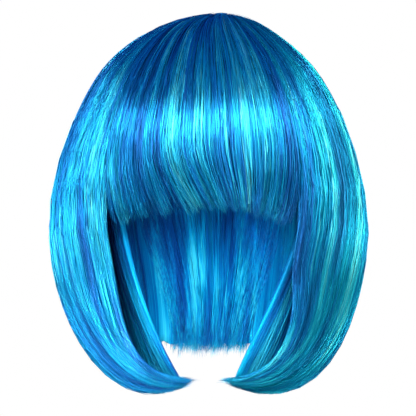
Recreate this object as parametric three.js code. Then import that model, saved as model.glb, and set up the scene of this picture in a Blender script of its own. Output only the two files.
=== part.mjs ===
// A chin-length bob wig: a crown of hair that parts from a whorl, a straight fringe, two long side
// locks that curl in under the chin, a shorter back, and a second, inner curtain of hair round the
// neck. Each section is a hollow wall of hair with its locks raised on it.
//
// Millimetres, +Z up, -Y to the front, +X to the right of someone who looks at the front.
// The origin is the underside of the crown, where the top of the wearer's head touches it.
//
// Every strand leaves the whorl in its own direction, its azimuth: 0 degrees is the front, 90 is
// +X and 180 is the back. Down to the cheeks it follows the dome, and below that it bends along a
// cubic curve to its own end in the hem.

import * as THREE from "three";

// Overall sizes of the hair
const HALF_WIDTH = 113; // at the cheeks
const FRONT_REACH = 117; // from the whorl's line to the face of the fringe
const BACK_REACH = 128; // from the whorl's line to the back of the hair
const HEIGHT = 274; // from the top of the hair to the lowest curl
const WHORL_SHIFT = 9; // the whorl lies this far right of the middle
const LEAN = 5.5; // and the lowest curls lean this far the same way

// Thickness of the wall of hair
const TOP_THICKNESS = 14; // over the top of the head
const EDGE_THICKNESS = 20; // at the crown's lower edge
const FRINGE_END_THICKNESS = 3.5;
const HEM_THICKNESS = 2.5; // of the side locks and the back, where they end
const INNER_THICKNESS = 7; // of the inner curtain, where it starts
const INNER_END_THICKNESS = 2.2;

// How the sections divide the hair, in shares of HEIGHT and in degrees of azimuth. The fringe ends
// at the first azimuth of the side locks below, and the under locks at theirs.
const CROWN_DROP = 0.2;
const FRINGE_DROP = 0.512; // the fringe's end at its middle
const FRINGE_CORNER_DROP = 0.036; // and this much lower at its two corners
const INNER_DROP = 0.34; // where the inner curtain starts
const BACK_AZIMUTH = 118; // the back starts here on both sides
const NAPE_AZIMUTH = 130; // the nape starts here on both sides

// Clearances between sections
const GAP = 0.3; // face to face
const SIDE_GAP = 0.9; // edge to edge, where two sections hang side by side
const INNER_GAP = 0.8; // from the outer layer's inner face to the top of the inner curtain

// Locks: how many each section has, how far they stand proud, and how much longer their middles
// are than their edges
const FRINGE_LOCKS = 11;
const SIDE_LOCKS = 8;
const BACK_LOCKS = 12;
const UNDER_LOCKS = 4;
const NAPE_LOCKS = 8;
const RIDGE = 2.2;
const INNER_RIDGE = 1.4;
const FRINGE_POINT = 5;
const HEM_POINT = 7;
const NAPE_POINT = 6;

// The small closed patch in the middle of the whorl
const PATCH_RADIUS = 4.5;
const PATCH_RIM = 0.8; // thickness at its rim
const PATCH_THICKNESS = 2.2; // in the middle

// Rings of the dome from the whorl down to the cheeks. drop is a share of HEIGHT, side of
// HALF_WIDTH, front of FRONT_REACH and back of BACK_REACH.
const DOME_RINGS = [
  { drop: 0.007, side: 0.0, front: 0.0, back: 0.0 },
  { drop: 0.0, side: 0.08, front: 0.08, back: 0.08 },
  { drop: 0.012, side: 0.21, front: 0.25, back: 0.25 },
  { drop: 0.039, side: 0.363, front: 0.46, back: 0.45 },
  { drop: 0.085, side: 0.522, front: 0.645, back: 0.64 },
  { drop: 0.14, side: 0.655, front: 0.785, back: 0.775 },
  { drop: 0.2, side: 0.752, front: 0.88, back: 0.87 },
  { drop: 0.275, side: 0.844, front: 0.95, back: 0.945 },
  { drop: 0.355, side: 0.913, front: 0.988, back: 0.985 },
  { drop: 0.44, side: 0.966, front: 1.0, back: 1.0 },
  { drop: 0.53, side: 0.997, front: 0.985, back: 0.995 },
  { drop: 0.61, side: 1.0, front: 0.955, back: 0.965 },
  { drop: 0.665, side: 0.986, front: 0.935, back: 0.925 },
];

// Ends of the strands. side, ahead and drop place the end, as shares of HALF_WIDTH, FRONT_REACH
// (towards the front) and HEIGHT. The bend to it is a cubic curve: it leaves the start along the
// strand for lead and is drawn to the middle by draw, and it reaches the end from flare of the way
// back to the start and from sag below the end. The front edges differ a little, left from right.
const SIDE_EDGES = {
  left: { azimuth: 42.5, side: 0.076, ahead: 0.69, drop: 0.942, lead: 0.157, draw: 0.03, flare: 0.85, sag: 0.01 },
  right: { azimuth: 36.5, side: 0.08, ahead: 0.69, drop: 0.942, lead: 0.135, draw: -0.06, flare: 0.77, sag: 0 },
};
const OUTER_HEM = [
  { azimuth: 66, side: 0.105, ahead: 0.67, drop: 0.951, lead: 0.165, draw: 0, flare: 0.585, sag: 0.05 },
  { azimuth: 94, side: 0.15, ahead: 0.61, drop: 0.958, lead: 0.18, draw: 0, flare: 0.575, sag: 0.1 },
  { azimuth: 106, side: 0.32, ahead: 0.43, drop: 0.963, lead: 0.18, draw: 0, flare: 0.52, sag: 0.055 },
  { azimuth: 118, side: 0.52, ahead: 0.12, drop: 0.952, lead: 0.165, draw: 0, flare: 0.4, sag: 0.0 },
  { azimuth: 132, side: 0.58, ahead: -0.25, drop: 0.928, lead: 0.15, draw: 0, flare: 0.3, sag: -0.05 },
  { azimuth: 150, side: 0.44, ahead: -0.55, drop: 0.905, lead: 0.12, draw: 0, flare: 0.22, sag: -0.09 },
  { azimuth: 180, side: 0.0, ahead: -0.72, drop: 0.89, lead: 0.11, draw: 0, flare: 0.2, sag: -0.11 },
];
const UNDER_EDGES = {
  left: { azimuth: 54, side: 0.17, ahead: 0.64, drop: 0.952, lead: 0.26, draw: 0.02, flare: 0.57, sag: -0.11 },
  right: { azimuth: 64, side: 0.16, ahead: 0.64, drop: 0.952, lead: 0.26, draw: 0, flare: 0.2, sag: -0.145 },
};
const INNER_HEM = [
  { azimuth: 84, side: 0.335, ahead: 0.41, drop: 0.94, lead: 0.26, draw: 0.12, flare: 0.45, sag: -0.11 },
  { azimuth: 104, side: 0.44, ahead: 0.06, drop: 0.928, lead: 0.25, draw: 0.08, flare: 0.4, sag: -0.1 },
  { azimuth: 130, side: 0.41, ahead: -0.44, drop: 0.898, lead: 0.22, draw: 0, flare: 0.2, sag: -0.14 },
  { azimuth: 156, side: 0.18, ahead: -0.6, drop: 0.902, lead: 0.21, draw: 0, flare: 0.18, sag: -0.15 },
  { azimuth: 180, side: 0.0, ahead: -0.63, drop: 0.906, lead: 0.2, draw: 0, flare: 0.15, sag: -0.16 },
];

// The fringe is combed sideways as it falls: shift is how far its ends move to the right, as a
// share of HALF_WIDTH, and place runs from minus 1 at its left corner to 1 at its right corner.
const FRINGE_COMB = [
  { place: -1.0, shift: 0.01 },
  { place: -0.65, shift: 0.1 },
  { place: -0.28, shift: 0.19 },
  { place: 0.14, shift: 0.1 },
  { place: 0.5, shift: 0.0 },
  { place: 0.76, shift: -0.05 },
  { place: 1.0, shift: -0.01 },
];
const COMB_START = 0.4; // share of the fringe's length where the combing begins
const FRINGE_TUCK = 9; // how far the ends of the fringe curl in towards the brow

// Below this drop the strands sweep forwards, those at the sides by this many degrees at the cheeks
const SWEEP_DROP = 0.42;
const SWEEP = 8;

// The side locks thin out towards their front edges, to this share of their thickness there
const FRONT_TAPER = 0.35;
const TAPER_TURN = 22; // degrees of azimuth over which they do

const SAMPLES_PER_LOCK = 3;
const OUTER_ROWS = 13; // the same for the side locks and the back, so their edges run together
const HAIR_COLOUR = 0x1477be;
const SHADED_COLOUR = 0x0c5a9c;
const PATCH_COLOUR = 0x3a5a8c;

const radians = THREE.MathUtils.degToRad;
const mix = THREE.MathUtils.lerp;
const ease = (x) => THREE.MathUtils.smoothstep(x, 0, 1);

const FRINGE_LEFT = SIDE_EDGES.left.azimuth;
const FRINGE_RIGHT = SIDE_EDGES.right.azimuth;
const POLE_DROP = DOME_RINGS[0].drop;

// One smooth curve through a column of evenly spaced values, at a position from 0 to 1
function alongColumn(values, position) {
  const last = values.length - 1;
  const place = THREE.MathUtils.clamp(position, 0, 1) * last;
  const i = Math.min(Math.floor(place), last - 1);
  const t = place - i;
  const [a, b, c, d] = [-1, 0, 1, 2].map((k) => values[THREE.MathUtils.clamp(i + k, 0, last)]);
  const bend = 2 * a - 5 * b + 4 * c - d;
  return b + 0.5 * t * (c - a + t * (bend + t * (3 * (b - c) + d - a)));
}

// The row of a table at a value of its key column, on a smooth curve through the rows
function rowAt(table, key, value) {
  const found = table.findIndex((row) => row[key] >= value);
  const i = found < 0 ? table.length - 1 : Math.max(1, found);
  const [low, high] = [table[i - 1], table[i]];
  const [before, after] = [table[Math.max(0, i - 2)], table[Math.min(table.length - 1, i + 1)]];
  const rise = high[key] - low[key];
  const share = (value - low[key]) / rise;
  const row = {};
  for (const name of Object.keys(low)) {
    const slopeLow = (rise * (high[name] - before[name])) / (high[key] - before[key]);
    const slopeHigh = (rise * (after[name] - low[name])) / (after[key] - low[key]);
    const bend = 3 * (high[name] - low[name]) - 2 * slopeLow - slopeHigh;
    const turn = slopeLow + slopeHigh - 2 * (high[name] - low[name]);
    row[name] = low[name] + share * (slopeLow + share * (bend + share * turn));
  }
  return row;
}

// The hem's rows on the left and on the right: from that side's front edge to the middle of the
// back, and one row past it, its mirror image
function hemRows(edges, hem) {
  const last = hem[hem.length - 2];
  const mirrored = { ...last, azimuth: 360 - last.azimuth, side: -last.side };
  return { left: [edges.left, ...hem, mirrored], right: [edges.right, ...hem, mirrored] };
}

const OUTER_ROWS_BY_SIDE = hemRows(SIDE_EDGES, OUTER_HEM);
const INNER_ROWS_BY_SIDE = hemRows(UNDER_EDGES, INNER_HEM);

const drops = DOME_RINGS.map((ring) => ring.drop);
const sides = DOME_RINGS.map((ring) => ring.side);
const fronts = DOME_RINGS.map((ring) => ring.front);
const backs = DOME_RINGS.map((ring) => ring.back);

// The level on the dome, from 0 at the whorl to 1 at its last ring, that lies at a given drop
function levelOfDrop(drop) {
  let [low, high] = [1 / (DOME_RINGS.length - 1), 1];
  for (let step = 0; step < 40; step += 1) {
    const middle = (low + high) / 2;
    if (alongColumn(drops, middle) < drop) low = middle;
    else high = middle;
  }
  return (low + high) / 2;
}

const CROWN_LEVEL = levelOfDrop(CROWN_DROP);
const FRINGE_LEVEL = levelOfDrop(FRINGE_DROP + FRINGE_CORNER_DROP);
const INNER_LEVEL = levelOfDrop(INNER_DROP);
const SWEEP_LEVEL = levelOfDrop(SWEEP_DROP);

// A point of the dome's outer face
function dome(azimuth, level) {
  const swept = SWEEP * ease((level - SWEEP_LEVEL) / (1 - SWEEP_LEVEL));
  const angle = radians(azimuth - swept * Math.sin(radians(azimuth)));
  const ahead = Math.cos(angle);
  const reach = ahead > 0 ? FRONT_REACH * alongColumn(fronts, level) : BACK_REACH * alongColumn(backs, level);
  const shift = WHORL_SHIFT * (1 - ease((1.5 * level) / CROWN_LEVEL));
  return new THREE.Vector3(
    shift + HALF_WIDTH * alongColumn(sides, level) * Math.sin(angle),
    -reach * ahead,
    TOP_THICKNESS - HEIGHT * alongColumn(drops, level),
  );
}

// An azimuth counted from the front to either side, from minus 180 to 180
function aroundFront(azimuth) {
  return azimuth > 180 ? azimuth - 360 : azimuth;
}

// The bend of one strand from its start to its end in the hem
function bend(hems, azimuth, start, direction, share) {
  const turn = aroundFront(azimuth);
  const row = rowAt(turn < 0 ? hems.left : hems.right, "azimuth", Math.abs(turn));
  const side = turn < 0 ? -1 : 1;
  const end = new THREE.Vector3(
    side * HALF_WIDTH * row.side,
    -FRONT_REACH * row.ahead,
    TOP_THICKNESS - HEIGHT * row.drop,
  );
  const leaving = start.clone().addScaledVector(direction, HEIGHT * row.lead);
  leaving.x -= side * HALF_WIDTH * row.draw;
  const arriving = new THREE.Vector3(
    mix(end.x, start.x, row.flare) + LEAN,
    mix(end.y, start.y, row.flare),
    end.z - HEIGHT * row.sag,
  );
  return new THREE.CubicBezierCurve3(start, leaving, arriving, end).getPoint(share);
}

// A point of the outer layer: travel is 0 at the whorl, 1 at the dome's last ring and 2 at the hem
function outerLayer(azimuth, travel) {
  if (travel <= 1) return dome(azimuth, travel);
  const start = dome(azimuth, 1);
  const direction = start.clone().sub(dome(azimuth, 0.99)).normalize();
  return bend(OUTER_ROWS_BY_SIDE, azimuth, start, direction, travel - 1);
}

// The direction out of a layer at a point of it
function outwards(layer, azimuth, travel) {
  const [turn, step] = [0.5, 0.005];
  const across = layer(azimuth + turn, travel).sub(layer(azimuth - turn, travel));
  const down = layer(azimuth, travel + step).sub(layer(azimuth, Math.max(travel - step, 0)));
  return down.cross(across).normalize();
}

// How thick the side locks and the back are along their strands
function outerThickness(azimuth, travel) {
  const share = THREE.MathUtils.clamp((travel - CROWN_LEVEL) / (2 - CROWN_LEVEL), 0, 1);
  const turn = aroundFront(azimuth);
  const fromFront = Math.abs(turn) - (turn < 0 ? FRINGE_LEFT : FRINGE_RIGHT);
  const taper = mix(FRONT_TAPER, 1, ease(fromFront / TAPER_TURN));
  return mix(HEM_THICKNESS, EDGE_THICKNESS, (1 - share) ** 1.6) * mix(1, taper, ease(4 * share));
}

// A point of the inner curtain: it starts on the inner face of the outer layer
function innerLayer(azimuth, travel) {
  const face = outerLayer(azimuth, INNER_LEVEL);
  const inset = outerThickness(azimuth, INNER_LEVEL) + INNER_GAP;
  const start = face.addScaledVector(outwards(outerLayer, azimuth, INNER_LEVEL), -inset);
  return bend(INNER_ROWS_BY_SIDE, azimuth, start, new THREE.Vector3(0, 0, -1), travel);
}

// Where an azimuth lies in the fringe, from minus 1 at its left corner to 1 at its right corner
function fringePlace(azimuth) {
  return azimuth / (azimuth < 0 ? FRINGE_LEFT : FRINGE_RIGHT);
}

// A point of the fringe, which leaves the dome as it is combed aside and tucked in
function fringeLayer(azimuth, travel) {
  const share = (travel - CROWN_LEVEL) / (FRINGE_LEVEL - CROWN_LEVEL);
  const combed = ease((share - COMB_START) / (1 - COMB_START)) * share;
  const place = THREE.MathUtils.clamp(fringePlace(azimuth), -1, 1);
  const point = dome(azimuth, travel);
  point.x += HALF_WIDTH * rowAt(FRINGE_COMB, "place", place).shift * combed;
  return point.addScaledVector(outwards(dome, azimuth, travel), -FRINGE_TUCK * share ** 3);
}

// The columns of a section: their azimuths, how far each stands on its lock, from 0 in the groove
// between two locks to 1 on the ridge, and how long its lock is against the others
function lockColumns(from, to, locks) {
  const count = locks * SAMPLES_PER_LOCK;
  return Array.from({ length: count + 1 }, (_, i) => ({
    azimuth: mix(from, to, i / count),
    ridge: Math.sin((Math.PI * (i % SAMPLES_PER_LOCK)) / SAMPLES_PER_LOCK),
    length: 0.8 + 0.2 * Math.cos(2.4 * Math.floor(i / SAMPLES_PER_LOCK)),
  }));
}

// A closed geometry from an outer and an inner grid of points, both as columns of rows. Open grids
// get walls along their two side edges. A grid whose first row is a single point has a pole there.
function closedShell(outer, inner, { ring = false, pole = false } = {}) {
  const [columns, rows] = [outer.length, outer[0].length];
  const points = [...outer.flat(), ...inner.flat()];
  const at = (layer, column, row) => {
    const place = pole && row === 0 ? 0 : column % columns;
    return (layer * columns + place) * rows + row;
  };
  const faces = [];
  const quad = (a, b, c, d) => {
    for (const face of [[a, b, c], [a, c, d]]) {
      if (new Set(face).size === 3) faces.push(...face);
    }
  };
  const spans = ring ? columns : columns - 1;
  for (let i = 0; i < spans; i += 1) {
    for (let j = 0; j < rows - 1; j += 1) {
      quad(at(0, i, j), at(0, i, j + 1), at(0, i + 1, j + 1), at(0, i + 1, j));
      quad(at(1, i, j), at(1, i + 1, j), at(1, i + 1, j + 1), at(1, i, j + 1));
    }
    const last = rows - 1;
    quad(at(0, i, last), at(1, i, last), at(1, i + 1, last), at(0, i + 1, last));
    if (!pole) quad(at(0, i, 0), at(0, i + 1, 0), at(1, i + 1, 0), at(1, i, 0));
  }
  if (!ring) {
    const end = columns - 1;
    for (let j = 0; j < rows - 1; j += 1) {
      quad(at(0, 0, j), at(1, 0, j), at(1, 0, j + 1), at(0, 0, j + 1));
      quad(at(0, end, j), at(0, end, j + 1), at(1, end, j + 1), at(1, end, j));
    }
  }
  const geometry = new THREE.BufferGeometry().setFromPoints(points);
  geometry.setIndex(faces);
  geometry.computeVertexNormals();
  return geometry;
}

// A section of hair as a wall: layer gives its outer face, facing the layer that its thickness is
// square to, start and end the travel of each column, and ridge how far its locks stand proud
function wallOfHair({ layer, facing = layer, columns, rows, start, end, thickness, ridge, ring, pole }) {
  const [outer, inner] = [[], []];
  for (const column of columns) {
    const [first, last] = [start(column), end(column)];
    const [outerRow, innerRow] = [[], []];
    for (let j = 0; j <= rows; j += 1) {
      const share = j / rows;
      const travel = mix(first, last, share);
      const atPole = pole && j === 0;
      const out = atPole ? new THREE.Vector3(0, 0, 1) : outwards(facing, column.azimuth, travel);
      const point = layer(column.azimuth, travel);
      const proud = ridge(share) * column.ridge * column.length;
      outerRow.push(point.clone().addScaledVector(out, proud));
      innerRow.push(point.clone().addScaledVector(out, -thickness(share, column.azimuth, travel)));
    }
    outer.push(outerRow);
    inner.push(innerRow);
  }
  return closedShell(outer, inner, { ring, pole });
}

function piece(name, geometry, color, roughness = 0.4) {
  const material = new THREE.MeshStandardMaterial({ color, roughness, metalness: 0 });
  const mesh = new THREE.Mesh(geometry, material);
  mesh.name = name;
  return mesh;
}

// How much travel a length along the strands is, at the end of a layer
function travelOf(length, layer, azimuth, end) {
  const step = 0.02;
  return (step * length) / layer(azimuth, end).distanceTo(layer(azimuth, end - step));
}

// Half the gap between two neighbouring sections, in degrees of azimuth
const halfGap = THREE.MathUtils.radToDeg(SIDE_GAP / HALF_WIDTH) / 2;
const SECTIONS = {
  fringe: [-FRINGE_LEFT, FRINGE_RIGHT, FRINGE_LOCKS],
  right: [FRINGE_RIGHT, BACK_AZIMUTH, SIDE_LOCKS],
  back: [BACK_AZIMUTH, 360 - BACK_AZIMUTH, BACK_LOCKS],
  left: [360 - BACK_AZIMUTH, 360 - FRINGE_LEFT, SIDE_LOCKS],
};
const BELOW_CROWN = levelOfDrop(CROWN_DROP + GAP / HEIGHT);

// The crown's locks are the upper parts of the locks of all the sections below it
function crown() {
  const columns = Object.values(SECTIONS).flatMap((section) => lockColumns(...section).slice(0, -1));
  const top = TOP_THICKNESS - HEIGHT * POLE_DROP;
  return wallOfHair({
    layer: dome,
    columns,
    rows: 6,
    start: () => 0,
    end: () => CROWN_LEVEL,
    thickness: (share) => (share === 0 ? top : mix(TOP_THICKNESS, EDGE_THICKNESS, ease(share))),
    ridge: (share) => RIDGE * share,
    ring: true,
    pole: true,
  });
}

function fringe() {
  const [from, to, locks] = SECTIONS.fringe;
  const endOf = ({ azimuth, ridge, length }) => {
    const corner = FRINGE_CORNER_DROP * fringePlace(azimuth) ** 2;
    const point = (FRINGE_POINT / HEIGHT) * (1 - ridge * length);
    return levelOfDrop(FRINGE_DROP + corner - point);
  };
  return wallOfHair({
    layer: fringeLayer,
    facing: dome,
    columns: lockColumns(from + halfGap, to - halfGap, locks),
    rows: 9,
    start: () => BELOW_CROWN,
    end: endOf,
    thickness: (share) => mix(FRINGE_END_THICKNESS, EDGE_THICKNESS, (1 - share) ** 1.3),
    ridge: (share) => RIDGE * (1 - 0.5 * share),
  });
}

// A side lock, or the back
function outerSection([from, to, locks]) {
  return wallOfHair({
    layer: outerLayer,
    columns: lockColumns(from + halfGap, to - halfGap, locks),
    rows: OUTER_ROWS,
    start: () => BELOW_CROWN,
    end: ({ azimuth, ridge, length }) =>
      2 - travelOf(HEM_POINT, outerLayer, azimuth, 2) * (1 - ridge * length),
    thickness: (share, azimuth, travel) => outerThickness(azimuth, travel),
    ridge: (share) => RIDGE * (1 - 0.6 * share),
  });
}

// A part of the inner curtain: an under lock, or the nape
function innerSection(from, to, locks, point) {
  return wallOfHair({
    layer: innerLayer,
    columns: lockColumns(from + halfGap, to - halfGap, locks),
    rows: 11,
    start: () => 0,
    end: ({ azimuth, ridge, length }) => 1 - travelOf(point, innerLayer, azimuth, 1) * (1 - ridge * length),
    thickness: (share) => mix(INNER_THICKNESS, INNER_END_THICKNESS, share),
    ridge: (share) => INNER_RIDGE * share,
  });
}

// The patch lies in the hollow of the whorl: its underside follows the hollow's slope
function whorlPatch() {
  const rise = (PATCH_RADIUS * HEIGHT * POLE_DROP) / (HALF_WIDTH * DOME_RINGS[1].side);
  const seat = rise + PATCH_RIM;
  const outline = [
    new THREE.Vector2(0, 0),
    new THREE.Vector2(PATCH_RADIUS, rise),
    new THREE.Vector2(PATCH_RADIUS, seat),
    new THREE.Vector2(PATCH_RADIUS / 2, mix(seat, PATCH_THICKNESS, 0.7)),
    new THREE.Vector2(0, PATCH_THICKNESS),
  ];
  return new THREE.LatheGeometry(outline, 16).rotateX(Math.PI / 2);
}

const underRight = [UNDER_EDGES.right.azimuth, NAPE_AZIMUTH, UNDER_LOCKS, HEM_POINT];
const underLeft = [360 - NAPE_AZIMUTH, 360 - UNDER_EDGES.left.azimuth, UNDER_LOCKS, HEM_POINT];
const nape = [NAPE_AZIMUTH, 360 - NAPE_AZIMUTH, NAPE_LOCKS, NAPE_POINT];
const wig = new THREE.Group();
wig.add(piece("crown", crown(), HAIR_COLOUR));
wig.add(piece("fringe", fringe(), HAIR_COLOUR));
wig.add(piece("side_lock_left", outerSection(SECTIONS.left), HAIR_COLOUR));
wig.add(piece("side_lock_right", outerSection(SECTIONS.right), HAIR_COLOUR));
wig.add(piece("back", outerSection(SECTIONS.back), HAIR_COLOUR));
wig.add(piece("under_lock_left", innerSection(...underLeft), SHADED_COLOUR));
wig.add(piece("under_lock_right", innerSection(...underRight), SHADED_COLOUR));
wig.add(piece("nape", innerSection(...nape), SHADED_COLOUR));
const patch = piece("whorl_patch", whorlPatch(), PATCH_COLOUR, 0.8);
patch.position.set(WHORL_SHIFT, 0, TOP_THICKNESS - HEIGHT * POLE_DROP + 2 * GAP);
wig.add(patch);

export default wig;
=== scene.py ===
# %% [markdown]
# # A bob wig in blue, strand by strand
#
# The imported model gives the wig's nine solids as a fixed frame: a crown, a fringe, two side locks,
# a back, two under locks, a nape curtain and the small patch at the whorl. Each solid is a plain
# ridged wall. This lesson dresses eight of them with combed strands, and gives the patch a weave.
#
# All the hair is worked out from one idea. A place on the wig has two numbers: its azimuth, the
# direction it lies in as seen from the whorl, and its travel, how far down a strand it lies. A
# layer is a function that turns those two numbers into a point in space.

import bpy
import numpy as np
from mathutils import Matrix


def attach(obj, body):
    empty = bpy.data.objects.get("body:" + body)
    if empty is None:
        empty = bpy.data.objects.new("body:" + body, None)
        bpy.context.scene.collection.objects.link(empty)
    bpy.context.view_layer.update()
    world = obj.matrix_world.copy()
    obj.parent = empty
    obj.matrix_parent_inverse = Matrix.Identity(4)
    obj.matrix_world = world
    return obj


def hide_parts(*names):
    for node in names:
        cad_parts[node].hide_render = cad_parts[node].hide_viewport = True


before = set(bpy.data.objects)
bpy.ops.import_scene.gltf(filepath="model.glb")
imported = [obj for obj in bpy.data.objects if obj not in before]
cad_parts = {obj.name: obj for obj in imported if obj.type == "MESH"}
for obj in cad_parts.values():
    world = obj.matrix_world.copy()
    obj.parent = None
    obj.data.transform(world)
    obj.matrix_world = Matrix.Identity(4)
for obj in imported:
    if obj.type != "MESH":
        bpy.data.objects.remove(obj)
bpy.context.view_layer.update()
chance = np.random.default_rng(1873)
print("nodes:", sorted(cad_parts))

# %% [markdown]
# ## The camera
#
# The picture is taken level, from 1.6 m in front, with a long lens. Level and far away, it keeps
# the wig's two sides upright, so no shift is needed to frame it.

# %% Place the camera
CAMERA_SIDE = -0.0005
CAMERA_BACK = 1.6
CAMERA_HEIGHT = -0.1257
LENS_MM = 192.3
FILM_MM = 36.0
camera_data = bpy.data.cameras.new("camera")
camera_data.lens = LENS_MM
camera_data.sensor_width = FILM_MM
camera = bpy.data.objects.new("camera", camera_data)
camera.location = (CAMERA_SIDE, -CAMERA_BACK, CAMERA_HEIGHT)
camera.rotation_euler = (np.pi / 2, 0.0, 0.0)
bpy.context.collection.objects.link(camera)
bpy.context.scene.camera = camera
print("camera at", tuple(round(v, 4) for v in camera.location), "lens", camera_data.lens)

# %% [markdown]
# ## The form that the hair follows
#
# A head of hair could be modelled by hand from a subdivided sphere. Here it is a formula, with the
# same numbers as the solids, so every strand follows them. Rings of the dome give how wide, how
# deep and how low it is at each level, and a smooth curve runs through them.

# %% Sizes of the form, in metres
MM = 0.001
HALF_WIDTH = 113 * MM
FRONT_REACH = 117 * MM
BACK_REACH = 128 * MM
HEIGHT = 274 * MM
WHORL_SHIFT = 9 * MM
LEAN = 5.5 * MM
TOP_THICKNESS = 14 * MM
EDGE_THICKNESS = 20 * MM
FRINGE_END_THICKNESS = 3.5 * MM
HEM_THICKNESS = 2.5 * MM
INNER_THICKNESS = 7 * MM
INNER_END_THICKNESS = 2.2 * MM
RIDGE = 2.2 * MM
INNER_RIDGE = 1.4 * MM

# %% Rings of the dome: drop, side, front, back
DOME_RINGS = np.array([
    (0.007, 0.0, 0.0, 0.0),
    (0.0, 0.08, 0.08, 0.08),
    (0.012, 0.21, 0.25, 0.25),
    (0.039, 0.363, 0.46, 0.45),
    (0.085, 0.522, 0.645, 0.64),
    (0.14, 0.655, 0.785, 0.775),
    (0.2, 0.752, 0.88, 0.87),
    (0.275, 0.844, 0.95, 0.945),
    (0.355, 0.913, 0.988, 0.985),
    (0.44, 0.966, 1.0, 1.0),
    (0.53, 0.997, 0.985, 0.995),
    (0.61, 1.0, 0.955, 0.965),
    (0.665, 0.986, 0.935, 0.925),
])
DROPS, SIDES, FRONTS, BACKS = DOME_RINGS.T


# %% Two helpers: a soft step, and a curve through evenly spaced values
def ease(x):
    """3x^2 - 2x^3 between 0 and 1, and flat outside."""
    x = np.clip(x, 0.0, 1.0)
    return x * x * (3.0 - 2.0 * x)


def along_column(values, position):
    """A Catmull-Rom curve through the values, at a position from 0 to 1."""
    last = len(values) - 1
    place = np.clip(position, 0.0, 1.0) * last
    i = np.minimum(np.floor(place).astype(int), last - 1)
    t = place - i
    a, b, c, d = (values[np.clip(i + k, 0, last)] for k in (-1, 0, 1, 2))
    return b + 0.5 * t * (c - a + t * (2 * a - 5 * b + 4 * c - d + t * (3 * (b - c) + d - a)))


def level_of_drop(drop):
    """The level where the dome has come down by drop, found by halving the range 40 times."""
    low = np.full(np.shape(drop), 1.0 / (len(DROPS) - 1))
    high = np.ones(np.shape(drop))
    for _ in range(40):
        middle = 0.5 * (low + high)
        above = along_column(DROPS, middle) < drop
        low, high = np.where(above, middle, low), np.where(above, high, middle)
    return 0.5 * (low + high)


# %% Levels where the pieces meet
CROWN_DROP = 0.2
SEAM = 0.3 * MM
FRINGE_DROP = 0.512
FRINGE_CORNER_DROP = 0.036
CROWN_LEVEL = float(level_of_drop(CROWN_DROP))
FRINGE_LEVEL = float(level_of_drop(FRINGE_DROP + FRINGE_CORNER_DROP))
INNER_LEVEL = float(level_of_drop(0.34))
SWEEP_LEVEL = float(level_of_drop(0.42))
BELOW_CROWN = float(level_of_drop(CROWN_DROP + SEAM / HEIGHT))
SWEEP = 8.0
print("levels: crown", round(CROWN_LEVEL, 3), "fringe", round(FRINGE_LEVEL, 3))


# %% The dome
def dome(azimuth, level):
    """Ellipse-like rings: x = side sin(angle), y = -reach cos(angle), z falls with the drop.
    Below SWEEP_LEVEL the angle leans forwards, and near the top the rings shift to the whorl."""
    azimuth, level = np.broadcast_arrays(np.asarray(azimuth, float), np.asarray(level, float))
    swept = SWEEP * ease((level - SWEEP_LEVEL) / (1.0 - SWEEP_LEVEL))
    angle = np.radians(azimuth - swept * np.sin(np.radians(azimuth)))
    ahead = np.cos(angle)
    front = FRONT_REACH * along_column(FRONTS, level)
    back = BACK_REACH * along_column(BACKS, level)
    shift = WHORL_SHIFT * (1.0 - ease(1.5 * level / CROWN_LEVEL))
    x = shift + HALF_WIDTH * along_column(SIDES, level) * np.sin(angle)
    y = -np.where(ahead > 0.0, front, back) * ahead
    z = TOP_THICKNESS - HEIGHT * along_column(DROPS, level)
    return np.stack([x, y, z], axis=-1)


def outwards(layer, azimuth, travel):
    """The unit normal of a layer: down the strand crossed with along the ring."""
    across = layer(azimuth + 0.5, travel) - layer(azimuth - 0.5, travel)
    down = layer(azimuth, travel + 0.005) - layer(azimuth, np.maximum(travel - 0.005, 0.0))
    normal = np.cross(down, across)
    return normal / np.maximum(np.linalg.norm(normal, axis=-1, keepdims=True), 1e-12)


# %% [markdown]
# ## Below the cheeks: the hem
#
# Below its last ring the hair leaves the dome and curls in under the chin. Each strand there is a
# cubic curve to its own end in the hem. A table gives the ends for a few azimuths, from the front
# edge round to the middle of the back, and a smooth curve fills in between.

# %% Ends of the strands: azimuth, side, ahead, drop, lead, draw, flare, sag
SIDE_EDGE_LEFT = (42.5, 0.076, 0.69, 0.942, 0.157, 0.03, 0.85, 0.01)
SIDE_EDGE_RIGHT = (36.5, 0.08, 0.69, 0.942, 0.135, -0.06, 0.77, 0.0)
OUTER_HEM = [
    (66, 0.105, 0.67, 0.951, 0.165, 0, 0.585, 0.05),
    (94, 0.15, 0.61, 0.958, 0.18, 0, 0.575, 0.1),
    (106, 0.32, 0.43, 0.963, 0.18, 0, 0.52, 0.055),
    (118, 0.52, 0.12, 0.952, 0.165, 0, 0.4, 0.0),
    (132, 0.58, -0.25, 0.928, 0.15, 0, 0.3, -0.05),
    (150, 0.44, -0.55, 0.905, 0.12, 0, 0.22, -0.09),
    (180, 0.0, -0.72, 0.89, 0.11, 0, 0.2, -0.11),
]
UNDER_EDGE_LEFT = (54, 0.17, 0.64, 0.952, 0.26, 0.02, 0.57, -0.11)
UNDER_EDGE_RIGHT = (64, 0.16, 0.64, 0.952, 0.26, 0, 0.2, -0.145)
INNER_HEM = [
    (84, 0.335, 0.41, 0.94, 0.26, 0.12, 0.45, -0.11),
    (104, 0.44, 0.06, 0.928, 0.25, 0.08, 0.4, -0.1),
    (130, 0.41, -0.44, 0.898, 0.22, 0, 0.2, -0.14),
    (156, 0.18, -0.6, 0.902, 0.21, 0, 0.18, -0.15),
    (180, 0.0, -0.63, 0.906, 0.2, 0, 0.15, -0.16),
]


def hem_table(edge, hem):
    """The edge's row, the hem's rows, and one row past the middle of the back, mirrored."""
    past = list(hem[-2])
    past[0] = 360 - past[0]
    past[1] = -past[1]
    return np.array([edge, *hem, past], float)


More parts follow.
